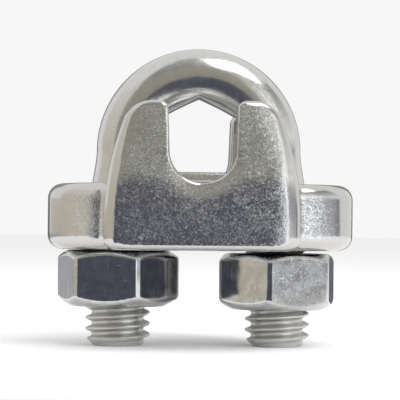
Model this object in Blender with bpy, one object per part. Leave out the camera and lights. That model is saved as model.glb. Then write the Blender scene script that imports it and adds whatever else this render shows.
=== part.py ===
"""Wire rope clip for 5 mm rope: a U-bolt with M6 legs, a cast saddle that slides on them, and two nuts.

The frame is +Z up with the legs pointing down. The origin is on the floor, midway between the legs' ends.
The rope runs along Y, under the bow of the U-bolt and over the seat of the saddle. The front is at -Y.
"""

import math

import bmesh
import bpy
from mathutils import Matrix, Vector

MM = 0.001

# U-bolt
LEG_HALF_SPACING = 7.3 * MM
SHANK_RADIUS = 2.65 * MM
TOTAL_HEIGHT = 27.2 * MM
BOW_OUTER_RADIUS = 9.35 * MM
LEG_STRAIGHT_TOP = 12.5 * MM
PRESSED_APEX_HEIGHT = 22.7 * MM
PRESSED_SLOPE = math.tan(math.radians(27))
PRESSED_DEPTH = 1.5 * MM

# M6 thread: major and root radius of the legs, and what the nut's thread is larger by
PITCH = 1.0 * MM
CREST_RADIUS = 2.95 * MM
ROOT_RADIUS = 2.38 * MM
THREAD_CLEARANCE = 0.17 * MM
THREAD_TOP = 12.2 * MM
RUNOUT_LENGTH = 1.2 * MM
TIP_RADIUS = 2.2 * MM
PROFILE = ((-1 / 16, 1), (1 / 16, 1), (3 / 8, 0), (5 / 8, 0))
SIDES = 20
BOW_STEPS = 28
RISE_STEPS = 5

# Nuts, with the turn of each about its leg. The corners are turned off less at the top
NUT_ACROSS_FLATS = 10.0 * MM
NUT_HEIGHT = 5.1 * MM
NUT_LOWER_RADIUS = 4.35 * MM
NUT_UPPER_RADIUS = 4.6 * MM
NUT_CHAMFER = math.tan(math.radians(30))
NUT_BARREL_RADIUS = 6.2 * MM
NUT_MOUTH_RADIUS = 3.3 * MM
NUT_BOTTOMS = {"left_nut": 3.6 * MM, "right_nut": 3.4 * MM}
NUT_TURNS = {"left_nut": math.radians(-41), "right_nut": math.radians(-10.5)}
SEAT_GAP = 0.05 * MM

# Saddle. It has play on the legs, and lies to the right in it
SADDLE_SHIFT = 0.2 * MM
SADDLE_BOTTOM = max(NUT_BOTTOMS.values()) + NUT_HEIGHT + SEAT_GAP
JAW_TOP = 21.75 * MM
JAW_HALF_WIDTH = 8.57 * MM
JAW_FOOT_ROUND = 1.3 * MM
JAW_BEND_HEIGHT = 15.8 * MM
JAW_BEND_RADIUS = 18.0 * MM
JAW_SHOULDER = 6.25 * MM
JAW_SHOULDER_ROUND = 1.6 * MM
JAW_HALF_DEPTH = 10.5 * MM
JAW_THICKNESS = 4.6 * MM
JAW_EDGE = 0.9 * MM
NOTCH_HALF_WIDTH = 2.85 * MM
NOTCH_MOUTH = 3.0 * MM
NOTCH_LIP_ROUND = 1.0 * MM
NOTCH_BOTTOM = 14.65 * MM
NOTCH_BOTTOM_ROUND = 2.8 * MM
EAR_RADIUS = 6.7 * MM
EAR_TOP = 14.75 * MM
EAR_EDGE = 1.4 * MM
HOLE_RADIUS = 3.5 * MM
TROUGH_FLOOR = 14.35 * MM
SEAT_TOP = 15.8 * MM
SEAT_HALF_LENGTH = 3.6 * MM
SEAT_FOOT_LENGTH = 4.3 * MM
SEAT_FOOT_HEIGHT = 14.0 * MM
SEAT_HALF_WIDTH = 3.4 * MM

# Steps of the round stretches
ARC_STEPS = 6
EAR_STEPS = 14
EDGE_STEPS = 3
HOLE_SIDES = 36
BARREL_SIDES = 48

MERGE = 1e-7
THROUGH = 3.0 * MM


def clear_scene():
    for obj in list(bpy.data.objects):
        bpy.data.objects.remove(obj, do_unlink=True)


def steel(name, shade, roughness):
    """A stainless steel of one shade of grey."""
    made = bpy.data.materials.new(name)
    made.use_nodes = True
    shader = made.node_tree.nodes["Principled BSDF"]
    shader.inputs["Base Color"].default_value = (shade, shade * 0.99, shade * 0.96, 1)
    shader.inputs["Metallic"].default_value = 1.0
    shader.inputs["Roughness"].default_value = roughness
    return made


def add_object(name, bm, origin=(0, 0, 0), turn=0.0, smooth_angle=30):
    """An object from bm, whose points are about origin."""
    bmesh.ops.recalc_face_normals(bm, faces=bm.faces)
    mesh = bpy.data.meshes.new(name)
    bm.to_mesh(mesh)
    bm.free()
    mesh.shade_smooth()
    mesh.set_sharp_from_angle(angle=math.radians(smooth_angle))
    obj = bpy.data.objects.new(name, mesh)
    obj.location = origin
    obj.rotation_euler.z = turn
    bpy.context.scene.collection.objects.link(obj)
    return obj


def add_helper(name, bm, origin=(0, 0, 0), turn=0.0):
    """A cutter or an addition, which is not a part by itself."""
    obj = add_object(name, bm, origin, turn)
    obj.hide_render = True
    obj.display_type = "WIRE"
    return obj


def combine(obj, helper, operation):
    modifier = obj.modifiers.new(helper.name, "BOOLEAN")
    modifier.operation = operation
    modifier.solver = "EXACT"
    modifier.object = helper


def box(low, high):
    bm = bmesh.new()
    size = Vector(high) - Vector(low)
    middle = (Vector(high) + Vector(low)) / 2
    place = Matrix.Translation(middle) @ Matrix.Diagonal((*size, 1))
    bmesh.ops.create_cube(bm, size=1.0, matrix=place)
    return bm


def turned(profile, sides):
    """A closed solid of revolution about Z, from (radius, height) points that start and end on the axis."""
    bm = bmesh.new()
    points = [bm.verts.new((radius, 0, height)) for radius, height in profile]
    edges = [bm.edges.new(pair) for pair in zip(points, points[1:])]
    bmesh.ops.spin(
        bm, geom=points + edges, axis=(0, 0, 1), cent=(0, 0, 0), angle=math.tau, steps=sides
    )
    bmesh.ops.remove_doubles(bm, verts=bm.verts, dist=MERGE)
    return bm


def extruded_along_y(outline, low, high):
    """A prism of an outline of (x, z) points."""
    bm = bmesh.new()
    face = bm.faces.new([bm.verts.new((x, low, z)) for x, z in outline])
    made = bmesh.ops.extrude_face_region(bm, geom=[face])
    moved = [v for v in made["geom"] if isinstance(v, bmesh.types.BMVert)]
    bmesh.ops.translate(bm, verts=moved, vec=(0, high - low, 0))
    return bm


def rounded_outline(corners, steps):
    """Points of a polygon of (x, z, radius) corners, with an arc of that radius at each corner."""
    points = []
    for i, (x, z, radius) in enumerate(corners):
        corner = Vector((x, z))
        before = (Vector(corners[i - 1][:2]) - corner).normalized()
        after = (Vector(corners[(i + 1) % len(corners)][:2]) - corner).normalized()
        if radius == 0:
            points.append(corner)
            continue
        half = before.angle(after) / 2
        centre = corner + (before + after).normalized() * radius / math.sin(half)
        start = corner + before * radius / math.tan(half) - centre
        end = corner + after * radius / math.tan(half) - centre
        sweep = start.angle_signed(end)
        for step in range(steps + 1):
            points.append(centre + Matrix.Rotation(-sweep * step / steps, 2) @ start)
    return points


def thread_grid(bm, bottom, top, radius_at):
    """The skin of a right-hand threaded rod about Z, open at both ends.

    Each row of points follows the helix, so crests and roots are clean edges. Rows that would leave the rod
    are held at its ends, where they merge into one flat ring.
    """
    turns = math.ceil((top - bottom) / PITCH) + 3
    rows = [(turn + phase, share) for turn in range(-1, turns) for phase, share in PROFILE]

    def point(column, row):
        turn, share = rows[row]
        height = min(max(PITCH * (turn - 1 + column / SIDES), bottom), top)
        angle = math.tau * column / SIDES
        radius = radius_at(height, share)
        return bm.verts.new((radius * math.cos(angle), radius * math.sin(angle), height))

    grid = [[point(column, row) for row in range(len(rows))] for column in range(SIDES + 1)]
    for left, right in zip(grid, grid[1:]):
        for row in range(len(rows) - 1):
            bm.faces.new((left[row], right[row], right[row + 1], left[row + 1]))
    bmesh.ops.remove_doubles(bm, verts=bm.verts, dist=MERGE)
    bmesh.ops.dissolve_degenerate(bm, edges=bm.edges, dist=MERGE)


def leg_thread_radius(height, share):
    """Radius of a leg's thread, share 1 on a crest and 0 on a root. It has a coned tip and fades at the top."""
    thread = ROOT_RADIUS + (CREST_RADIUS - ROOT_RADIUS) * share
    fade = min(max((THREAD_TOP - height) / RUNOUT_LENGTH, 0), 1)
    return min(SHANK_RADIUS + (thread - SHANK_RADIUS) * fade, TIP_RADIUS + height)


def tap_radius(bottom, top):
    """Radius of the cutter for a nut's thread, which is plain at its two ends."""

    def radius_at(height, share):
        if height in (bottom, top):
            return ROOT_RADIUS
        return ROOT_RADIUS + THREAD_CLEARANCE + (CREST_RADIUS - ROOT_RADIUS) * share

    return radius_at


def bow_centreline(steps):
    """(point, unit vector towards the inside) along the plain part of the U-bolt, left leg to right."""
    radius = BOW_OUTER_RADIUS - SHANK_RADIUS
    spring = TOTAL_HEIGHT - BOW_OUTER_RADIUS
    path = [Vector((-LEG_HALF_SPACING, 0, THREAD_TOP)), Vector((-LEG_HALF_SPACING, 0, LEG_STRAIGHT_TOP))]
    for step in range(1, RISE_STEPS):
        share = step / RISE_STEPS
        ease = share * share * (3 - 2 * share)
        x = -LEG_HALF_SPACING + (LEG_HALF_SPACING - radius) * ease
        path.append(Vector((x, 0, LEG_STRAIGHT_TOP + (spring - LEG_STRAIGHT_TOP) * share)))
    for step in range(steps // 2):
        angle = math.pi * step / steps
        path.append(Vector((-radius * math.cos(angle), 0, spring + radius * math.sin(angle))))
    crown = Vector((0, 0, spring + radius))
    path += [crown] + [Vector((-p.x, 0, p.z)) for p in reversed(path)]
    up, down = Vector((0, 0, 1)), Vector((0, 0, -1))
    tangents = [up] + [(b - a).normalized() for a, b in zip(path, path[2:])] + [down]
    return [(p, Vector((t.z, 0, -t.x))) for p, t in zip(path, tangents)]


def pressed(point):
    """The inside of the bow is pressed into two flats that meet under the crown."""
    floor = PRESSED_APEX_HEIGHT - PRESSED_SLOPE * abs(point.x)
    inside = abs(point.x) < LEG_HALF_SPACING - SHANK_RADIUS and point.z > floor - PRESSED_DEPTH
    return Vector((point.x, point.y, max(point.z, floor))) if inside else point


def bow_grid(bm):
    rings = []
    for centre, inward in bow_centreline(BOW_STEPS):
        ring = []
        for side in range(SIDES):
            angle = math.tau * side / SIDES
            offset = inward * math.cos(angle) + Vector((0, 1, 0)) * math.sin(angle)
            ring.append(bm.verts.new(pressed(centre + offset * SHANK_RADIUS)))
        rings.append(ring)
    for a, b in zip(rings, rings[1:]):
        for side in range(SIDES):
            after = (side + 1) % SIDES
            bm.faces.new((a[side], a[after], b[after], b[side]))


def make_u_bolt():
    bm = bmesh.new()
    for x in (-LEG_HALF_SPACING, LEG_HALF_SPACING):
        leg = bmesh.new()
        thread_grid(leg, 0.0, THREAD_TOP, leg_thread_radius)
        bmesh.ops.translate(leg, verts=leg.verts, vec=(x, 0, 0))
        mesh = bpy.data.meshes.new("leg")
        leg.to_mesh(mesh)
        leg.free()
        bm.from_mesh(mesh)
        bpy.data.meshes.remove(mesh)
    bow_grid(bm)
    bmesh.ops.remove_doubles(bm, verts=bm.verts, dist=MERGE * 10)
    bmesh.ops.holes_fill(bm, edges=[e for e in bm.edges if e.is_boundary], sides=0)
    bolt = add_object("u_bolt", bm)
    bolt.data.materials.append(steel("bolt_steel", 0.62, 0.28))


def nut_blank():
    """A hexagonal prism about the middle of the nut, with a corner at +Y."""
    corner = NUT_ACROSS_FLATS / math.sqrt(3)
    bm = bmesh.new()
    bmesh.ops.create_cone(
        bm, cap_ends=True, segments=6, radius1=corner, radius2=corner, depth=NUT_HEIGHT
    )
    return bm


def nut_barrel(half):
    """What the blank is cut down to: its corners are turned off at 30 degrees on both faces."""
    upper_drop = (NUT_BARREL_RADIUS - NUT_UPPER_RADIUS) * NUT_CHAMFER
    lower_drop = (NUT_BARREL_RADIUS - NUT_LOWER_RADIUS) * NUT_CHAMFER
    profile = [
        (0, half),
        (NUT_UPPER_RADIUS, half),
        (NUT_BARREL_RADIUS, half - upper_drop),
        (NUT_BARREL_RADIUS, lower_drop - half),
        (NUT_LOWER_RADIUS, -half),
        (0, -half),
    ]
    return turned(profile, BARREL_SIDES)


def nut_mouth(half):
    """The countersinks at both ends of the thread, joined by a core as wide as the thread's root."""
    depth = NUT_MOUTH_RADIUS - ROOT_RADIUS
    profile = [
        (0, half + THROUGH),
        (NUT_MOUTH_RADIUS + THROUGH, half + THROUGH),
        (ROOT_RADIUS, half - depth),
        (ROOT_RADIUS, depth - half),
        (NUT_MOUTH_RADIUS + THROUGH, -half - THROUGH),
        (0, -half - THROUGH),
    ]
    return turned(profile, SIDES)


def nut_tap(low, high):
    bm = bmesh.new()
    thread_grid(bm, low, high, tap_radius(low, high))
    bmesh.ops.holes_fill(bm, edges=[e for e in bm.edges if e.is_boundary], sides=0)
    return bm


def make_nut(name, x, material):
    bottom, half = NUT_BOTTOMS[name], NUT_HEIGHT / 2
    centre = Vector((x, 0, bottom + half))
    # turned half round, so that the blank's corner at +Y points to the front
    nut = add_object(name, nut_blank(), centre, math.pi + NUT_TURNS[name])
    nut.data.materials.append(material)
    combine(nut, add_helper(name + "_barrel", nut_barrel(half), centre), "INTERSECT")
    combine(nut, add_helper(name + "_mouth", nut_mouth(half), centre), "DIFFERENCE")
    tap = nut_tap(bottom - PITCH, bottom + NUT_HEIGHT + PITCH)
    combine(nut, add_helper(name + "_tap", tap, (x, 0, 0)), "DIFFERENCE")


def jaw_outline():
    """The saddle seen along the rope, without its ears."""
    right = [
        (JAW_HALF_WIDTH, SADDLE_BOTTOM, JAW_FOOT_ROUND),
        (JAW_HALF_WIDTH, JAW_BEND_HEIGHT, JAW_BEND_RADIUS),
        (JAW_SHOULDER, JAW_TOP, JAW_SHOULDER_ROUND),
        (NOTCH_MOUTH, JAW_TOP, NOTCH_LIP_ROUND),
        (NOTCH_HALF_WIDTH, NOTCH_BOTTOM, NOTCH_BOTTOM_ROUND),
    ]
    left = [(-x, z, radius) for x, z, radius in reversed(right)]
    return rounded_outline(right + left, ARC_STEPS)


def bevel_rims(bm, axis, width):
    """Rounds the edges of a prism along an axis, apart from those that run along it."""
    rims = [e for e in bm.edges if abs(e.verts[0].co[axis] - e.verts[1].co[axis]) < MERGE]
    bmesh.ops.bevel(
        bm, geom=rims, offset=width, segments=EDGE_STEPS, profile=0.5, affect="EDGES", clamp_overlap=True
    )


def jaw_block():
    bm = extruded_along_y(jaw_outline(), -JAW_HALF_DEPTH, JAW_HALF_DEPTH)
    bevel_rims(bm, 1, JAW_EDGE)
    return bm


def ear_bar():
    """A bar with half-round ends, one about each leg, which shows as an ear on each side of the jaws."""
    outline = []
    for side in (1, -1):
        for step in range(EAR_STEPS + 1):
            angle = math.pi * (step / EAR_STEPS - 0.5)
            x = side * (LEG_HALF_SPACING + EAR_RADIUS * math.cos(angle))
            outline.append((x, side * EAR_RADIUS * math.sin(angle)))
    bm = bmesh.new()
    face = bm.faces.new([bm.verts.new((x, y, SADDLE_BOTTOM)) for x, y in outline])
    made = bmesh.ops.extrude_face_region(bm, geom=[face])
    moved = [v for v in made["geom"] if isinstance(v, bmesh.types.BMVert)]
    bmesh.ops.translate(bm, verts=moved, vec=(0, 0, EAR_TOP - SADDLE_BOTTOM))
    bevel_rims(bm, 2, EAR_EDGE)
    return bm


def rope_seat():
    """The block that the rope lies on, flat on top, with a steep wall towards each jaw."""
    outline = [
        (-SEAT_FOOT_LENGTH, SEAT_FOOT_HEIGHT),
        (SEAT_FOOT_LENGTH, SEAT_FOOT_HEIGHT),
        (SEAT_HALF_LENGTH, SEAT_TOP),
        (-SEAT_HALF_LENGTH, SEAT_TOP),
    ]
    bm = extruded_along_y(outline, -SEAT_HALF_WIDTH, SEAT_HALF_WIDTH)
    bmesh.ops.rotate(bm, verts=bm.verts, cent=(0, 0, 0), matrix=Matrix.Rotation(math.pi / 2, 3, "Z"))
    return bm


def make_saddle():
    place = (SADDLE_SHIFT, 0, 0)
    saddle = add_object("saddle", jaw_block(), place)
    saddle.data.materials.append(steel("cast_steel", 0.58, 0.32))
    inner, beyond = JAW_HALF_DEPTH - JAW_THICKNESS, JAW_HALF_WIDTH + THROUGH
    trough = box((-beyond, -inner, TROUGH_FLOOR), (beyond, inner, JAW_TOP + THROUGH))
    combine(saddle, add_helper("saddle_trough", trough, place), "DIFFERENCE")
    combine(saddle, add_helper("saddle_ears", ear_bar(), place), "UNION")
    combine(saddle, add_helper("saddle_seat", rope_seat(), place), "UNION")
    low, high = SADDLE_BOTTOM - THROUGH, EAR_TOP + THROUGH
    hole = turned([(0, high), (HOLE_RADIUS, high), (HOLE_RADIUS, low), (0, low)], HOLE_SIDES)
    for name, x in (("left", -LEG_HALF_SPACING), ("right", LEG_HALF_SPACING)):
        cutter = add_helper(f"saddle_{name}_hole", hole.copy(), (x + SADDLE_SHIFT, 0, 0))
        combine(saddle, cutter, "DIFFERENCE")
    hole.free()


def main():
    clear_scene()
    make_u_bolt()
    make_saddle()
    nut_steel = steel("nut_steel", 0.55, 0.2)
    make_nut("left_nut", -LEG_HALF_SPACING, nut_steel)
    make_nut("right_nut", LEG_HALF_SPACING, nut_steel)


main()
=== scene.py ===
"""Looks of a wire rope clip for 5 mm rope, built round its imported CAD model.

Every piece is made again at full detail and rides on its CAD body: the bent and threaded U-bolt, the
tumbled saddle casting and the two nuts. The shapes below are in millimetres and become metres in
add_piece. The saddle and the nuts are distance fields, negative inside, that surface_net turns into
meshes, so that their edges carry real fillets. The U-bolt is a skin of rings: round its legs' threads,
and along the centreline of its bow.
"""

import itertools
import math

import bpy
import numpy as np
from mathutils import Matrix, Vector, noise


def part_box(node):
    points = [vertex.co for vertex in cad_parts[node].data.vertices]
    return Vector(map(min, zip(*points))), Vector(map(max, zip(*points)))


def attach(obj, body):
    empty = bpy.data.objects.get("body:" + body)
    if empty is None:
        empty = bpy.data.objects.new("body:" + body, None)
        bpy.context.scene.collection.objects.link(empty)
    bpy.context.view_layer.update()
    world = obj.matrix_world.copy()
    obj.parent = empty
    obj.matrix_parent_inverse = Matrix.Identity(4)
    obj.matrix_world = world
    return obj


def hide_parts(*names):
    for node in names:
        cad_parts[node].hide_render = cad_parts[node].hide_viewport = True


MM = 0.001

# U-bolt
LEG_X = 7.3
SHANK_RADIUS = 2.65
BOW_OUTER_RADIUS = 9.35
LEG_STRAIGHT_TOP = 12.5
PRESSED_APEX = 22.7
PRESSED_SLOPE = math.tan(math.radians(27))
PRESSED_BLEND = 0.25
PRESSED_APEX_ROUND = 0.05
PRESSED_REACH = 1.5
BOW_STEPS = 150
RING_SIDES = 80
RINGS_PER_TURN = 16
PITCH = 1.0
CREST_RADIUS = 2.95
ROOT_RADIUS = 2.38
CREST_FLAT = 0.12
ROOT_FLAT = 0.24
THREAD_ROUNDING = 0.7
THREAD_TOP = 12.2
RUNOUT = 1.2
TIP_RADIUS = 2.2
TIP_ROUND = 0.2

# Nuts. NUT_WAVES holds the height, the size and the seed of their unevenness, as worn_in takes it
NUT_FLATS = 10.0
NUT_CORNER_ROUND = 0.75
NUT_EDGE_BLEND = 0.2
NUT_FACE_EDGE = 0.05
NUT_LOWER_RADIUS = 4.35
NUT_UPPER_RADIUS = 4.6
NUT_CHAMFER = math.radians(30)
NUT_MOUTH_RADIUS = 3.3
NUT_MOUTH_MARGIN = 0.2
NUT_THREAD_GAP = 0.17
NUT_GRID = 0.12
NUT_SHRINK = 0.008
NUT_WAVES = (0.008, 1.4, 1.3)
# how squarely a nut's flat faces its pitted side: that flat has real pits and a darker colour that is painted
# shade
PITTED_SHADED_FACING = 0.93
PITTED_SHADED_FACING_OVER = 0.05
NUT_TURNS = {"left_nut": math.radians(-41), "right_nut": math.radians(-10.5)}

# Saddle. It has play on the legs, and lies to the right in it
SADDLE_SHIFT = 0.2
JAW_HALF_WIDTH = 8.57
JAW_SHOULDER = 6.25
JAW_BEND = 15.8
JAW_BEND_BLEND = 1.7
JAW_DRAFT_HEIGHT = 15.0
JAW_DRAFT_ABOVE = math.tan(math.radians(4.5))
JAW_DRAFT_BELOW = math.tan(math.radians(1.5))
JAW_DRAFT_BLEND = 0.06
JAW_THICKNESS = 4.6
JAW_EDGE_LOW = 1.25
JAW_EDGE_HIGH = 0.5
FOOT_ROUND = 0.55
FOOT_WIDENING = 0.6
FOOT_WIDENS_FROM = 6.6
FOOT_WIDENS_OVER = 1.2
HORN_ROUND = 1.55
HORN_INNER_ROUND = 0.75
ROLL_CORNER = 3.0
ROLL_FOOT = 5.0
ROLL_WIDTH = 2.4
ROLL_DROP = 0.36
LIP_WIDTH = 1.8
LIP_DROP = 0.3
LIP_ROUND = 0.2
LIP_REACH = 0.5
NOTCH_RADIUS = 2.85
NOTCH_MOUTH = 3.0
NOTCH_CENTRE = 17.5
EAR_RADIUS = 6.7
EAR_TOP = 14.75
EAR_ROUND = 1.35
EAR_FILLET = 0.45
HOLE_RADIUS = 3.5
HOLE_EDGE = 0.35
SEAT_TOP = 15.8
SEAT_HALF_LENGTH = 3.75
SEAT_HALF_WIDTH = 3.4
SEAT_SLOPE = math.atan2(1.8, 0.4)
SEAT_END_EDGE = 0.25
SEAT_SIDE_EDGE = 0.5
SEAT_FILLET = 0.5
SEAT_FOOT = 2
TROUGH_FLOOR = 14.35
TROUGH_CORNER = 0.8
TROUGH_EDGE = 0.7
SADDLE_GRID = 0.19
SADDLE_SHRINK = 0.03

# Unevenness of the casting: its height, its size and its seed
CAST_WAVES = (0.02, 2.6, 3.1)
CAST_PITS = (0.008, 0.42, 7.7)

# Where the casting is dull: on flat faces, and on the ears' upright sides near the jaws
DULL_FLATNESS = 0.955
DULL_FLATNESS_OVER = 0.035
DULL_TILT = 0.35
DULL_TILT_OVER = 0.2
DULL_EAR_REACH = 4.4
DULL_EAR_OVER = 3
DULL_EAR_MOST = 0.9
EAR_GAP = 0.15
EAR_MARGIN = 0.2

# Stage. Lengths are in metres here
AIM_HEIGHT = 0.013
APRON_HEIGHT = 0.0005
FLOOR_REACH = 3.0
CARD_COLUMNS = 16
CARD_ROWS = 8
STUDIO_WHITE = (0.93, 0.93, 0.93, 1)


# --- Distance fields ------------------------------------------------------------------------------


def both(a, b, radius):
    """What is inside a and b, with the edge between them rounded. Their faces meet at about 90 degrees."""
    rounded = np.hypot(np.maximum(a + radius, 0), np.maximum(b + radius, 0))
    return np.minimum(np.maximum(a, b), -radius) + rounded


def either(a, b, radius):
    """What is inside a or b, with a fillet in the corner between them."""
    return -both(-a, -b, radius)


def both_flat(a, b, width):
    """What is inside a and b, for faces that meet at a shallow angle, blended over a width."""
    share = np.maximum(width - np.abs(a - b), 0) / width
    return np.maximum(a, b) + share * share * width / 4


def ramp(value, start, over):
    """From 0 at a value of start to 1 at over more than that."""
    return np.clip((value - start) / over, 0, 1)


def thread_wave(around, height):
    """From 0 in a root to 1 on a crest of a right-hand thread, at an angle in turns and a height."""
    phase = np.mod(height / PITCH - around, 1.0)
    off_crest = np.minimum(phase, 1 - phase)
    share = np.clip((0.5 - ROOT_FLAT / 2 - off_crest) / (0.5 - (ROOT_FLAT + CREST_FLAT) / 2), 0, 1)
    return share + THREAD_ROUNDING * share * (1 - share) * (2 * share - 1)


def roll_over(depth, width, drop):
    """How far a face has sunk at a depth inside its edge, where it rolls over towards that edge."""
    return drop * np.clip(1 - depth / width, 0, 1) ** 2


def jaw_field(x, y, z, box):
    """Both jaws and the block between them. box holds the lowest and the highest y and z."""
    (low_y, low_z), (high_y, high_z) = box
    across, along = np.abs(x), np.abs(y)
    lean = math.atan2(JAW_HALF_WIDTH - JAW_SHOULDER, high_z - JAW_BEND)
    upright = across - JAW_HALF_WIDTH
    leaning = upright * math.cos(lean) + (z - JAW_BEND) * math.sin(lean)
    flanks = both_flat(upright, leaning, JAW_BEND_BLEND)
    outline = both(flanks, z - high_z, HORN_ROUND)
    widening = (NOTCH_MOUTH - NOTCH_RADIUS) / (high_z - NOTCH_CENTRE)
    slot = across - NOTCH_RADIUS - np.maximum(z - NOTCH_CENTRE, 0) * widening
    from_centre = np.hypot(across, z - NOTCH_CENTRE)
    notch = np.where(z > NOTCH_CENTRE, slot, from_centre - NOTCH_RADIUS)
    above = z - JAW_DRAFT_HEIGHT
    face = along - high_y
    face = both_flat(face + above * JAW_DRAFT_ABOVE, face - above * JAW_DRAFT_BELOW, JAW_DRAFT_BLEND)
    pillow = roll_over(-both(flanks, (low_z - z) * ROLL_FOOT, ROLL_CORNER), ROLL_WIDTH, ROLL_DROP)
    # the face dips towards the notch's bottom, and not towards its upright sides
    under_notch = np.clip((NOTCH_CENTRE - z) / np.maximum(from_centre, 0.1), 0, 1)
    face = face + np.maximum(pillow, roll_over(notch, LIP_WIDTH, LIP_DROP) * under_notch)
    # the edge is worn less towards the horns, and least round the notch
    edge = JAW_EDGE_LOW + (JAW_EDGE_HIGH - JAW_EDGE_LOW) * ramp(z, JAW_BEND, high_z - JAW_BEND)
    near_notch = np.clip(LIP_REACH - outline - notch, 0, 1)
    edge = edge + (LIP_ROUND - edge) * near_notch
    outside = both(both(outline, -notch, HORN_INNER_ROUND), face, edge)
    foot = FOOT_ROUND + FOOT_WIDENING * ramp(across, FOOT_WIDENS_FROM, FOOT_WIDENS_OVER)
    notched = both(outside, low_z - z, foot)
    trough = both(along - (high_y - JAW_THICKNESS), TROUGH_FLOOR - z, TROUGH_CORNER)
    return both(notched, -trough, TROUGH_EDGE)


def saddle_field(points, low, high):
    """The whole casting, between the lowest and the highest corner of its box."""
    x, y, z = points[..., 0] - SADDLE_SHIFT, points[..., 1], points[..., 2]
    jaws = jaw_field(x, y, z, ((low[1], low[2]), (high[1], high[2])))
    middle, half = (EAR_TOP + low[2]) / 2, (EAR_TOP - low[2]) / 2
    plan = np.hypot(np.maximum(np.abs(x) - LEG_X, 0), y) - EAR_RADIUS
    ears = both(plan, np.abs(z - middle) - half, EAR_ROUND)
    slope = (z - SEAT_TOP) * math.cos(SEAT_SLOPE) + (np.abs(y) - SEAT_HALF_LENGTH) * math.sin(SEAT_SLOPE)
    seat = both(both(z - SEAT_TOP, slope, SEAT_END_EDGE), np.abs(x) - SEAT_HALF_WIDTH, SEAT_SIDE_EDGE)
    # the seat ends inside the jaws and above the underside, so that it adds nothing there
    seat = np.maximum(seat, np.abs(y) - (high[1] - JAW_THICKNESS / 2))
    seat = np.maximum(seat, low[2] + SEAT_FOOT - z)
    body = either(either(jaws, ears, EAR_FILLET), seat, SEAT_FILLET)
    # the fillets swell where the undersides of the jaws and the ears lie in one plane, so cut them flat
    body = np.maximum(body, low[2] - z)
    hole = np.hypot(np.abs(x) - LEG_X, y) - HOLE_RADIUS
    return both(body, -hole, HOLE_EDGE)


def nut_field(points, centre, half_height, turn):
    """A chamfered hexagon, tapped to fit its leg's thread, with a countersink at both ends."""
    x, y, z = (points[..., i] - centre[i] for i in range(3))
    radius, height = np.hypot(x, y), np.abs(z)
    # a hexagon with rounded corners: fold the plane on its mirror lines, then measure to one side
    inner = NUT_FLATS / 2 - NUT_CORNER_ROUND
    cos, sin = math.cos(turn), math.sin(turn)
    px, py = np.abs(cos * x + sin * y), np.abs(cos * y - sin * x)
    fold = 2 * np.minimum(math.cos(math.pi / 6) * -py + 0.5 * px, 0)
    py, px = py + fold * math.cos(math.pi / 6), px - fold * 0.5
    reach = inner * math.tan(math.pi / 6)
    side = np.hypot(py - np.clip(py, -reach, reach), px - inner) * np.sign(px - inner) - NUT_CORNER_ROUND
    end_radius = np.where(z > 0, NUT_UPPER_RADIUS, NUT_LOWER_RADIUS)
    cone = (height - half_height) * math.cos(NUT_CHAMFER) + (radius - end_radius) * math.sin(NUT_CHAMFER)
    shell = both(both_flat(side, cone, NUT_EDGE_BLEND), height - half_height, NUT_FACE_EDGE)
    # the wave goes by the height above the floor, as the leg's does, so the two threads mesh
    wave = thread_wave(np.arctan2(y, x) / math.tau, points[..., 2])
    tapped = radius - ROOT_RADIUS - NUT_THREAD_GAP - (CREST_RADIUS - ROOT_RADIUS) * wave
    mouth = (radius - NUT_MOUTH_RADIUS + (half_height - height)) * math.sqrt(0.5)
    return np.maximum(shell, -np.minimum(tapped, mouth))


# --- Meshes ---------------------------------------------------------------------------------------


def gradient(field, points, step=0.01):
    """A field's slope along each axis."""
    slopes = []
    for axis in range(3):
        shift = np.zeros(3)
        shift[axis] = step
        slopes.append((field(points + shift) - field(points - shift)) / (2 * step))
    return np.stack(slopes, -1)


def surface_net(field, low, high, step):
    """Points and quads on a field's zero surface: a point in each grid cell that the surface crosses."""
    margin, passes, least_slope = 2, 5, 0.1
    axes = [np.arange(a - margin * step, b + (margin + 1) * step, step) for a, b in zip(low, high)]
    values = field(np.stack(np.meshgrid(*axes, indexing="ij"), -1))
    inside = values < 0
    cells = [n - 1 for n in values.shape]

    def corner(array, offset):
        return array[tuple(slice(o, o + n) for o, n in zip(offset, cells))]

    offsets = list(itertools.product((0, 1), repeat=3))
    full = sum(corner(inside, offset).astype(np.int8) for offset in offsets)
    mixed = (full > 0) & (full < len(offsets))
    total, number = np.zeros((*cells, 3)), np.zeros(cells)
    for offset in offsets:
        for axis in range(3):
            if offset[axis]:
                continue
            end = tuple(o + (i == axis) for i, o in enumerate(offset))
            a, b = corner(values, offset), corner(values, end)
            crossed = (a < 0) != (b < 0)
            share = np.where(crossed, a / np.where(crossed, a - b, 1), 0)
            for i in range(3):
                total[..., i] += crossed * (offset[i] + (share if i == axis else 0))
            number += crossed
    start = np.array([axis[0] for axis in axes])
    points = start + (np.argwhere(mixed) + total[mixed] / number[mixed][:, None]) * step
    index = np.full(cells, -1)
    index[mixed] = np.arange(len(points))
    quads = []
    for axis in range(3):
        u, v = (axis + 1) % 3, (axis + 2) % 3
        here = np.moveaxis(inside, (axis, u, v), (0, 1, 2))
        near = np.moveaxis(index, (axis, u, v), (0, 1, 2))
        a, b = here[:-1, 1:-1, 1:-1], here[1:, 1:-1, 1:-1]
        ring = np.stack([near[:, :-1, :-1], near[:, 1:, :-1], near[:, 1:, 1:], near[:, :-1, 1:]], -1)
        quads += [ring[a & ~b], ring[b & ~a][:, ::-1]]
    # draw the points onto the surface
    for _ in range(passes):
        slope = gradient(field, points)
        move = field(points)[:, None] * slope / np.maximum((slope**2).sum(-1), least_slope)[:, None]
        points = points - np.clip(move, -step / 2, step / 2)
    return points, np.concatenate(quads)


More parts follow.
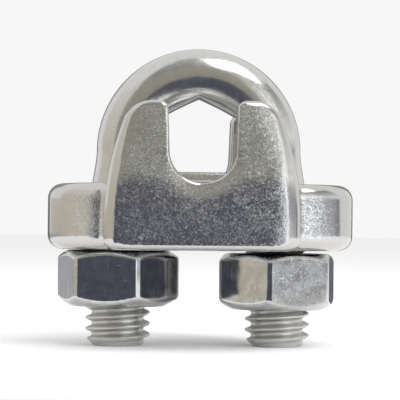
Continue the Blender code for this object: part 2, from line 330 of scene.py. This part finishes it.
def add_piece(name, points, faces, material, node, body, sharp_angle=None):
    """A piece of points in millimetres, in place of a CAD node."""
    mesh = bpy.data.meshes.new(name)
    mesh.from_pydata((np.asarray(points) * MM).tolist(), [], [list(map(int, face)) for face in faces])
    mesh.update()
    mesh.shade_smooth()
    if sharp_angle:
        mesh.set_sharp_from_angle(angle=math.radians(sharp_angle))
    mesh.materials.append(material)
    piece = bpy.data.objects.new(name, mesh)
    bpy.context.scene.collection.objects.link(piece)
    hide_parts(node)
    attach(piece, body)
    return piece


def set_attribute(piece, name, values):
    """Stores a number at each point of a piece, for its material to read."""
    made = piece.data.attributes.new(name, "FLOAT", "POINT")
    made.data.foreach_set("value", np.asarray(values, dtype=np.float32))


def worn_in(points, normals, amount, size, seed):
    """Points moved along their normals by smooth noise of a height and a size in millimetres."""
    offset = Vector((seed, seed * 1.7, seed * 2.3))
    heights = np.array([noise.noise(Vector(p) / size + offset) for p in points])
    return points + normals * (heights * amount)[:, None]


# --- Pieces ---------------------------------------------------------------------------------------


def millimetres(node):
    low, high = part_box(node)
    return [v / MM for v in low], [v / MM for v in high]


def unit_normals(field, points):
    normals = gradient(field, points)
    return normals / np.linalg.norm(normals, axis=1)[:, None]


def make_saddle(material):
    low, high = millimetres("saddle")

    def field(points):
        return saddle_field(points, low, high)

    points, quads = surface_net(field, low, high, SADDLE_GRID)
    normals = unit_normals(field, points)
    dull = ramp(np.abs(normals).max(axis=1), DULL_FLATNESS, DULL_FLATNESS_OVER)
    across = np.abs(points[:, 0] - SADDLE_SHIFT)
    on_ear = (across > JAW_HALF_WIDTH + EAR_GAP) & (np.abs(points[:, 1]) < EAR_RADIUS + EAR_MARGIN)
    upright = np.clip((DULL_TILT - np.abs(normals[:, 2])) / DULL_TILT_OVER, 0, 1)
    near_jaw = np.clip((JAW_HALF_WIDTH + DULL_EAR_REACH - across) / DULL_EAR_OVER, 0, DULL_EAR_MOST)
    dull = np.where(on_ear, upright * near_jaw, dull)
    points = worn_in(points - normals * SADDLE_SHRINK, normals, *CAST_WAVES)
    points = worn_in(points, normals * dull[:, None], *CAST_PITS)
    saddle = add_piece("saddle_casting", points, quads, material, "saddle", "saddle")
    set_attribute(saddle, "worn", dull)


def make_nut(name, material, shaded_pitted_side=None):
    """The last argument is the direction, in degrees from the front towards +X, that a pitted flat faces;
    that flat is coloured darker, partly for its pits and partly as painted shade.
    """
    low, high = millimetres(name)
    middle = [(a + b) / 2 for a, b in zip(low, high)]
    centre = (math.copysign(LEG_X, middle[0]), 0.0, middle[2])
    half = (high[2] - low[2]) / 2

    def field(points):
        return nut_field(points, centre, half, NUT_TURNS[name])

    points, quads = surface_net(field, low, high, NUT_GRID)
    normals = unit_normals(field, points)
    radius = np.hypot(points[:, 0] - centre[0], points[:, 1])
    outer = (radius > NUT_MOUTH_RADIUS + NUT_MOUTH_MARGIN).astype(float)
    points = worn_in(points - normals * NUT_SHRINK, normals * outer[:, None], *NUT_WAVES)
    nut = add_piece(name + "_body", points, quads, material, name, name)
    # the pitted flat gets real pits and a darker colour that is painted shade
    if shaded_pitted_side is not None:
        side = np.array(towards(shaded_pitted_side, 0, 1))
        set_attribute(nut, "worn", ramp(normals @ side, PITTED_SHADED_FACING, PITTED_SHADED_FACING_OVER))


def leg_radius(around, height):
    """Radius of a leg's thread, which is coned at the tip and fades into the shank."""
    thread = ROOT_RADIUS + (CREST_RADIUS - ROOT_RADIUS) * thread_wave(around, height)
    fade = min(max((THREAD_TOP - height) / RUNOUT, 0), 1)
    radius = SHANK_RADIUS + (thread - SHANK_RADIUS) * fade
    tip = TIP_RADIUS + height
    blend = max(TIP_ROUND - abs(radius - tip), 0) / TIP_ROUND
    return min(radius, tip) - blend * blend * TIP_ROUND / 4


def bow_line():
    """Centreline of the plain part of the U-bolt, left leg to right."""
    radius = BOW_OUTER_RADIUS - SHANK_RADIUS
    top = millimetres("u_bolt")[1][2]
    spring = top - BOW_OUTER_RADIUS
    line = [Vector((-LEG_X, 0, THREAD_TOP)), Vector((-LEG_X, 0, LEG_STRAIGHT_TOP))]
    rise = 16
    for step in range(1, rise):
        share = step / rise
        ease = share * share * (3 - 2 * share)
        height = LEG_STRAIGHT_TOP + (spring - LEG_STRAIGHT_TOP) * share
        line.append(Vector((-LEG_X + (LEG_X - radius) * ease, 0, height)))
    for step in range(BOW_STEPS // 2):
        angle = math.pi * step / BOW_STEPS
        line.append(Vector((-radius * math.cos(angle), 0, spring + radius * math.sin(angle))))
    return line + [Vector((0, 0, spring + radius))] + [Vector((-p.x, 0, p.z)) for p in reversed(line)]


def pressed(point):
    """The inside of the bow is pressed into two flats that meet under the crown."""
    floor = PRESSED_APEX - PRESSED_SLOPE * math.hypot(point.x, PRESSED_APEX_ROUND)
    if abs(point.x) > LEG_X - SHANK_RADIUS or point.z < floor - PRESSED_REACH:
        return point
    blend = max(PRESSED_BLEND - abs(point.z - floor), 0) / PRESSED_BLEND
    return Vector((point.x, point.y, max(point.z, floor) + blend * blend * PRESSED_BLEND / 4))


def bow_ring(centre, tangent):
    """A ring of points round the bar, square to its centreline."""
    inward = Vector((tangent.z, 0, -tangent.x))
    ring = []
    for side in range(RING_SIDES):
        angle = math.tau * side / RING_SIDES
        offset = inward * math.cos(angle) + Vector((0, 1, 0)) * math.sin(angle)
        ring.append(pressed(centre + offset * SHANK_RADIUS))
    return ring


def make_u_bolt(material):
    """The rod is one skin over rings that run up the left leg, over the bow and down the right leg."""
    turns = [side / RING_SIDES for side in range(RING_SIDES)]
    levels = round(THREAD_TOP / PITCH * RINGS_PER_TURN)
    heights = [THREAD_TOP * level / levels for level in range(levels)]
    line = bow_line()
    tangents = [(b - a).normalized() for a, b in zip(line, line[2:])]
    tangents = [Vector((0, 0, 1))] + tangents + [Vector((0, 0, -1))]
    rings = [[ring_point(-LEG_X, height, turn) for turn in turns] for height in heights]
    rings += [bow_ring(centre, tangent) for centre, tangent in zip(line, tangents)]
    # on the right leg the rings run the other way round
    rings += [[ring_point(LEG_X, height, 0.5 - turn) for turn in turns] for height in reversed(heights)]
    points = [point for ring in rings for point in ring]
    faces = []
    for first in range(0, len(points) - RING_SIDES, RING_SIDES):
        for side in range(RING_SIDES):
            a, b = first + side, first + (side + 1) % RING_SIDES
            faces.append((a, b, b + RING_SIDES, a + RING_SIDES))
    for first, x in ((0, -LEG_X), (len(points) - RING_SIDES, LEG_X)):
        centre = len(points)
        points.append(Vector((x, 0, 0)))
        for side in range(RING_SIDES):
            pair = (first + (side + 1) % RING_SIDES, first + side)
            faces.append((*(pair if x < 0 else reversed(pair)), centre))
    places = [tuple(point) for point in points]
    rod = add_piece("u_bolt_rod", places, faces, material, "u_bolt", "u_bolt", sharp_angle=50)
    middle = (CREST_RADIUS + ROOT_RADIUS) / 2
    # where the threads' roots get their painted shade
    set_attribute(rod, "thread_root_shade", [root_shade_share(point, middle) for point in points])
    set_attribute(rod, "threaded", [float(point.z < THREAD_TOP - RUNOUT) for point in points])


def root_shade_share(point, middle):
    """1 in a thread's root, 0 on its flanks, its crest and the plain bar. The material darkens the roots by
    it, as painted shade.
    """
    if point.z >= THREAD_TOP - RUNOUT or point.z <= TIP_ROUND:
        return 0.0
    radius = math.hypot(abs(point.x) - LEG_X, point.y)
    return min(max((middle - radius) / (middle - ROOT_RADIUS), 0.0), 1.0)


def ring_point(x, height, around):
    """A point on a leg's thread, at an angle in turns."""
    angle = math.tau * around
    radius = leg_radius(around, height)
    return Vector((x + radius * math.cos(angle), radius * math.sin(angle), height))


# --- Materials ------------------------------------------------------------------------------------


class Steel:
    """Builds one metal from nodes. Its textures go by the piece's own coordinates, in metres."""

    def __init__(self, name):
        self.material = bpy.data.materials.new(name)
        self.material.use_nodes = True
        self.tree = self.material.node_tree
        self.shader = self.tree.nodes["Principled BSDF"]
        self.shader.inputs["Metallic"].default_value = 1.0
        self.place = self.add("ShaderNodeTexCoord").outputs["Object"]
        self.normal = None

    def add(self, kind, **inputs):
        """A new node, with a number or another node's socket fed to each named input."""
        node = self.tree.nodes.new(kind)
        for key, value in inputs.items():
            self.feed(value, node.inputs[key.replace("_", " ")])
        return node

    def feed(self, value, socket):
        if isinstance(value, bpy.types.NodeSocket):
            self.tree.links.new(value, socket)
        else:
            socket.default_value = value

    def grain(self, size, detail=2.0, rough=0.5, distortion=0.0, stretch=(1, 1, 1)):
        """Noise whose features are about size millimetres, from 0 to 1."""
        place = self.add("ShaderNodeMapping", Vector=self.place, Scale=stretch).outputs[0]
        shape = {"Scale": 1000 / size, "Detail": detail, "Roughness": rough, "Distortion": distortion}
        return self.add("ShaderNodeTexNoise", Vector=place, **shape).outputs["Fac"]

    def attribute(self, name):
        """A number that set_attribute stored at the piece's points."""
        node = self.add("ShaderNodeAttribute")
        node.attribute_name = name
        return node.outputs["Fac"]

    def steps(self, value, low, high, to_low=0.0, to_high=1.0):
        """A smooth step of value between low and high."""
        node = self.tree.nodes.new("ShaderNodeMapRange")
        node.interpolation_type = "SMOOTHSTEP"
        for socket, number in zip(node.inputs, (value, low, high, to_low, to_high)):
            self.feed(number, socket)
        return node.outputs[0]

    def maths(self, operation, a, b=0.0):
        node = self.tree.nodes.new("ShaderNodeMath")
        node.operation = operation
        self.feed(a, node.inputs[0])
        self.feed(b, node.inputs[1])
        return node.outputs[0]

    def mix(self, factor, a, b):
        """From colour a, at a factor of 0, to colour b. The node's sockets 6 and 7 are its colours."""
        node = self.tree.nodes.new("ShaderNodeMix")
        node.data_type = "RGBA"
        self.feed(factor, node.inputs[0])
        for color, socket in ((a, node.inputs[6]), (b, node.inputs[7])):
            self.feed(color if isinstance(color, bpy.types.NodeSocket) else (*color, 1), socket)
        return node.outputs[2]

    def bump(self, height, depth, strength=1.0):
        """A relief of depth millimetres on top of any made before it."""
        node = self.add("ShaderNodeBump", Height=height, Distance=depth * MM, Strength=strength)
        if self.normal:
            self.tree.links.new(self.normal, node.inputs["Normal"])
        self.normal = node.outputs[0]

    def finish(self, color, roughness):
        for value, name in ((color, "Base Color"), (roughness, "Roughness"), (self.normal, "Normal")):
            self.feed(value, self.shader.inputs[name])
        return self.material


def cast_steel():
    """Tumbled casting: smooth, bright edges, and faces covered in pale specks where the skin is bruised;
    their pale colour is partly painted glints, standing in for light caught by the bruised facets.
    """
    steel = Steel("cast_steel_detail")
    face = steel.attribute("worn")
    sparkle = steel.grain(0.14, detail=3, rough=0.6)
    flakes = steel.grain(0.27, detail=3, rough=0.6, distortion=0.8)
    clouds = steel.grain(2.6)
    lot = steel.steps(clouds, 0.3, 0.7, 0.025, -0.025)
    points = steel.steps(steel.maths("ADD", sparkle, lot), 0.38, 0.74, 0.0, 0.8)
    patches = steel.steps(steel.maths("ADD", flakes, lot), 0.42, 0.76, 0.0, 0.45)
    bruises_and_glints = steel.maths("MULTIPLY", steel.maths("ADD", points, patches), face)
    skin = steel.mix(face, (0.6, 0.59, 0.57), (0.52, 0.52, 0.51))
    # painted glints: the specks' pale bluish colour stands in for light that the bruised facets catch, beside
    # their real roughness and relief
    color = steel.mix(bruises_and_glints, skin, (0.88, 0.89, 0.93))
    steel.bump(steel.maths("MULTIPLY", flakes, face), 0.016, 0.85)
    steel.bump(steel.maths("MULTIPLY", sparkle, face), 0.012, 0.85)
    ground = steel.steps(flakes, 0.3, 0.7, 0.1, 0.16)
    rough = steel.maths("ADD", steel.maths("MULTIPLY", bruises_and_glints, 0.22), ground)
    rough = steel.maths("ADD", rough, steel.maths("MULTIPLY", face, 0.02))
    return steel.finish(color, rough)


def nut_steel(name):
    """Smooth bright steel with fine scratches, pitted where the worn attribute says so, and coloured darker
    there, partly for the pits and partly as painted shade.
    """
    steel = Steel(name)
    side = steel.attribute("worn")
    scratch = steel.steps(steel.grain(0.24, stretch=(1, 1, 0.2)), 0.61, 0.8, 0, 0.45)
    cross = steel.steps(steel.grain(0.2, detail=1, stretch=(0.25, 0.25, 1.4)), 0.65, 0.82, 0, 0.5)
    dents = steel.steps(steel.grain(0.26), 0.76, 0.84, 0, 0.8)
    lines = steel.maths("MAXIMUM", steel.maths("MAXIMUM", scratch, cross), dents)
    cloud = steel.grain(0.9, detail=4, rough=0.65)
    pits = steel.grain(0.14, rough=0.6)
    pitting = steel.maths("MULTIPLY", side, steel.steps(pits, 0.58, 0.74, 0, 0.6))
    steel.bump(steel.maths("MULTIPLY", side, cloud), 0.012, 0.6)
    steel.bump(lines, 0.002, 0.5)
    marks = steel.maths("MAXIMUM", lines, pitting)
    blotches = steel.steps(cloud, 0.35, 0.65)
    # painted shade: the pitted flat's colour is darker than the plain steel, beside what its real pits give
    pitted_and_shaded = steel.mix(blotches, (0.27, 0.27, 0.265), (0.42, 0.425, 0.43))
    plain = steel.mix(side, steel.mix(blotches, (0.54, 0.54, 0.535), (0.64, 0.64, 0.635)), pitted_and_shaded)
    color = steel.mix(marks, plain, (0.8, 0.8, 0.8))
    rough = steel.maths("ADD", steel.maths("MULTIPLY", marks, 0.3), steel.maths("MULTIPLY", side, 0.1))
    rough = steel.maths("ADD", rough, steel.steps(cloud, 0.3, 0.7, 0.07, 0.12))
    return steel.finish(color, rough)


def bolt_steel():
    """Bright drawn bar, a little mottled where it was bent, with cut threads whose roots are coloured darker
    as painted shade.
    """
    steel = Steel("bolt_steel_detail")
    mottle = steel.grain(0.6, detail=4, rough=0.62)
    fine = steel.grain(0.15)
    steel.bump(mottle, 0.012, 0.3)
    steel.bump(fine, 0.003, 0.4)
    color = steel.mix(steel.steps(mottle, 0.35, 0.65), (0.61, 0.605, 0.59), (0.65, 0.645, 0.63))
    # painted shade: the threads' roots are coloured darker, where shade falls in the grooves
    color = steel.mix(steel.attribute("thread_root_shade"), color, (0.54, 0.53, 0.51))
    ground = steel.steps(fine, 0.3, 0.7, 0.16, 0.2)
    rough = steel.maths("ADD", steel.steps(mottle, 0.5, 0.66, 0.0, 0.05), ground)
    rough = steel.maths("ADD", rough, steel.maths("MULTIPLY", steel.attribute("threaded"), 0.16))
    return steel.finish(color, rough)


# --- Stage ----------------------------------------------------------------------------------------


def towards(azimuth, elevation, distance):
    """A point as far off as distance. Azimuth goes from the front towards +X, and both are in degrees."""
    a, e = math.radians(azimuth), math.radians(elevation)
    return Vector((math.sin(a) * math.cos(e), -math.cos(a) * math.cos(e), math.sin(e))) * distance


def softbox(name, azimuth, elevation, size, power, color=(1, 1, 1), distance=0.4):
    """A rectangular lamp that faces the clip."""
    light = bpy.data.lights.new(name, "AREA")
    light.shape = "RECTANGLE"
    light.size, light.size_y = size
    light.energy = power
    light.color = color
    lamp = bpy.data.objects.new(name, light)
    lamp.location = towards(azimuth, elevation, distance)
    aim = Vector((0, 0, AIM_HEIGHT)) - lamp.location
    lamp.rotation_euler = aim.to_track_quat("-Z", "Y").to_euler()
    lamp.visible_camera = False
    bpy.context.scene.collection.objects.link(lamp)


def glow_card(name, points, faces, shades):
    """A card that only reflections show, shaded from its lowest edge to its highest."""
    mesh = bpy.data.meshes.new(name)
    mesh.from_pydata(points, [], faces)
    material = bpy.data.materials.new(name)
    material.use_nodes = True
    tree = material.node_tree
    tree.nodes.clear()
    place = tree.nodes.new("ShaderNodeTexCoord")
    height = tree.nodes.new("ShaderNodeSeparateXYZ")
    shading = tree.nodes.new("ShaderNodeValToRGB")
    glow = tree.nodes.new("ShaderNodeEmission")
    output = tree.nodes.new("ShaderNodeOutputMaterial")
    tree.links.new(place.outputs["Generated"], height.inputs[0])
    tree.links.new(height.outputs["Z"], shading.inputs[0])
    tree.links.new(shading.outputs[0], glow.inputs["Color"])
    tree.links.new(glow.outputs[0], output.inputs["Surface"])
    for stop, shade in zip(shading.color_ramp.elements, shades):
        stop.color = (*shade, 1)
    mesh.materials.append(material)
    card = bpy.data.objects.new(name, mesh)
    card.visible_camera = False
    card.visible_shadow = False
    card.visible_diffuse = False
    bpy.context.scene.collection.objects.link(card)


def grid_faces(rows, columns):
    """Quads of a grid of points that holds rows + 1 rows of columns + 1 points."""
    starts = (row * (columns + 1) + column for row in range(rows) for column in range(columns))
    return [(first, first + 1, first + columns + 2, first + columns + 1) for first in starts]


def spread(ends, parts):
    """The values that divide the way between two ends into equal parts, both ends among them."""
    return [ends[0] + (ends[1] - ends[0]) * part / parts for part in range(parts + 1)]


def apron(name, azimuths, reach, shade):
    """A card that lies just above the floor, between two azimuths and two distances from the clip."""
    lift = Vector((0, 0, APRON_HEIGHT))
    points = [towards(azimuth, 0, far) + lift for far in reach for azimuth in spread(azimuths, CARD_COLUMNS)]
    glow_card(name, points, grid_faces(1, CARD_COLUMNS), (shade, shade))


def screen(name, azimuths, elevations, shades, distance=0.2):
    """A patch of a dome round the clip, shaded from its bottom edge to its top."""
    lift = Vector((0, 0, AIM_HEIGHT))
    points = []
    for elevation in spread(elevations, CARD_ROWS):
        points += [towards(azimuth, elevation, distance) + lift for azimuth in spread(azimuths, CARD_COLUMNS)]
    glow_card(name, points, grid_faces(CARD_ROWS, CARD_COLUMNS), shades)


def make_stage():
    scene = bpy.context.scene
    scene.view_settings.view_transform = "Standard"
    world = bpy.data.worlds.new("studio")
    world.use_nodes = True
    world.node_tree.nodes["Background"].inputs["Color"].default_value = STUDIO_WHITE
    world.node_tree.nodes["Background"].inputs["Strength"].default_value = 1.0
    scene.world = world

    mesh = bpy.data.meshes.new("floor")
    corners = ((-1, -1), (1, -1), (1, 1), (-1, 1))
    mesh.from_pydata([(x * FLOOR_REACH, y * FLOOR_REACH, 0) for x, y in corners], [], [(0, 1, 2, 3)])
    pale = bpy.data.materials.new("pale_floor")
    pale.use_nodes = True
    matt = pale.node_tree.nodes["Principled BSDF"].inputs
    matt["Base Color"].default_value = STUDIO_WHITE
    matt["Roughness"].default_value = 1.0
    matt["Specular IOR Level"].default_value = 0.0
    mesh.materials.append(pale)
    floor = bpy.data.objects.new("floor", mesh)
    scene.collection.objects.link(floor)

    dark, warm = (0.1, 0.105, 0.138), (0.38, 0.37, 0.315)
    grey, shadow = (0.42, 0.43, 0.46), (0.28, 0.28, 0.3)
    beige, low_grey, back = (0.66, 0.62, 0.52), (0.5, 0.5, 0.54), (0.14, 0.14, 0.16)
    screen("dark_front", (-44, 19), (-6, 4.5), (dark, dark))
    apron("dark_apron", (-50, 19), (0.025, 0.2), dark)
    screen("warm_front", (-46, 19), (4.5, 44), (warm, (0.4, 0.39, 0.34)))
    screen("grey_top", (-50, 12), (44, 80), ((0.28, 0.28, 0.28), (0.5, 0.5, 0.5)))
    screen("bright_right", (19, 36), (-2, 14), ((1.3, 1.35, 1.45), (1.4, 1.42, 1.4)))
    screen("beige_right", (19, 36), (14, 48), ((0.8, 0.78, 0.7), (0.55, 0.54, 0.49)))
    screen("grey_low_right", (36, 92), (-6, 3.5), ((0.5, 0.52, 0.58), grey))
    screen("dark_right", (92, 104), (-6, 3.5), (shadow, shadow))
    screen("white_right", (36, 104), (3.5, 14), (grey, (1.2, 1.2, 1.2)))
    screen("grey_high_right", (36, 104), (14, 48), ((0.95, 0.95, 0.95), (0.3, 0.3, 0.3)))
    screen("beige_left", (-105, -46), (-6, 44), (beige, (0.84, 0.83, 0.8)))
    screen("beige_far_left", (-140, -105), (-1.5, 2.5), ((0.66, 0.63, 0.55), (0.72, 0.7, 0.64)))
    screen("grey_low_left", (-150, -105), (-6, -1.5), (low_grey, low_grey))
    apron("grey_left_apron", (-150, -105), (0.07, 0.2), low_grey)
    apron("beige_apron", (-105, -50), (0.06, 0.2), beige)
    screen("grey_back", (150, 215), (-6, 30), (back, (0.4, 0.4, 0.39)))
    apron("back_apron", (150, 215), (0.05, 0.2), back)
    softbox("top_box", 40, 60, (0.3, 0.25), 0.55)
    softbox("right_strip", 47, 24, (0.05, 0.2), 0.45, color=(0.94, 0.96, 1.0))


def make_camera():
    """A long lens a little left of the middle and as high as the ears, tilted up a little."""
    camera = bpy.data.cameras.new("camera")
    camera.sensor_width = 36
    camera.lens = 145
    view = bpy.data.objects.new("camera", camera)
    view.location = (-0.0025, -0.148, 0.0105)
    yaw = Matrix.Rotation(math.radians(-1.03), 3, "Z")
    pitch = Matrix.Rotation(math.pi / 2 + math.radians(1.1), 3, "X")
    roll = Matrix.Rotation(math.radians(0.5), 3, "Z")
    view.rotation_euler = (yaw @ pitch @ roll).to_euler()
    bpy.context.scene.collection.objects.link(view)
    bpy.context.scene.camera = view


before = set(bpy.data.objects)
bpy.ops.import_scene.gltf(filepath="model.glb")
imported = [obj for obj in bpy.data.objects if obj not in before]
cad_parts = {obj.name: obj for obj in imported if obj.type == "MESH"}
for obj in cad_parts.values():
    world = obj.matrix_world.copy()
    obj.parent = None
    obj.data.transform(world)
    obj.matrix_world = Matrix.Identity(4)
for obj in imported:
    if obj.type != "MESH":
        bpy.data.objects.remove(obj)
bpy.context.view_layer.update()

make_camera()
make_stage()
make_u_bolt(bolt_steel())
make_saddle(cast_steel())
make_nut("left_nut", nut_steel("left_nut_detail"))
make_nut("right_nut", nut_steel("right_nut_detail"), shaded_pitted_side=19.5)
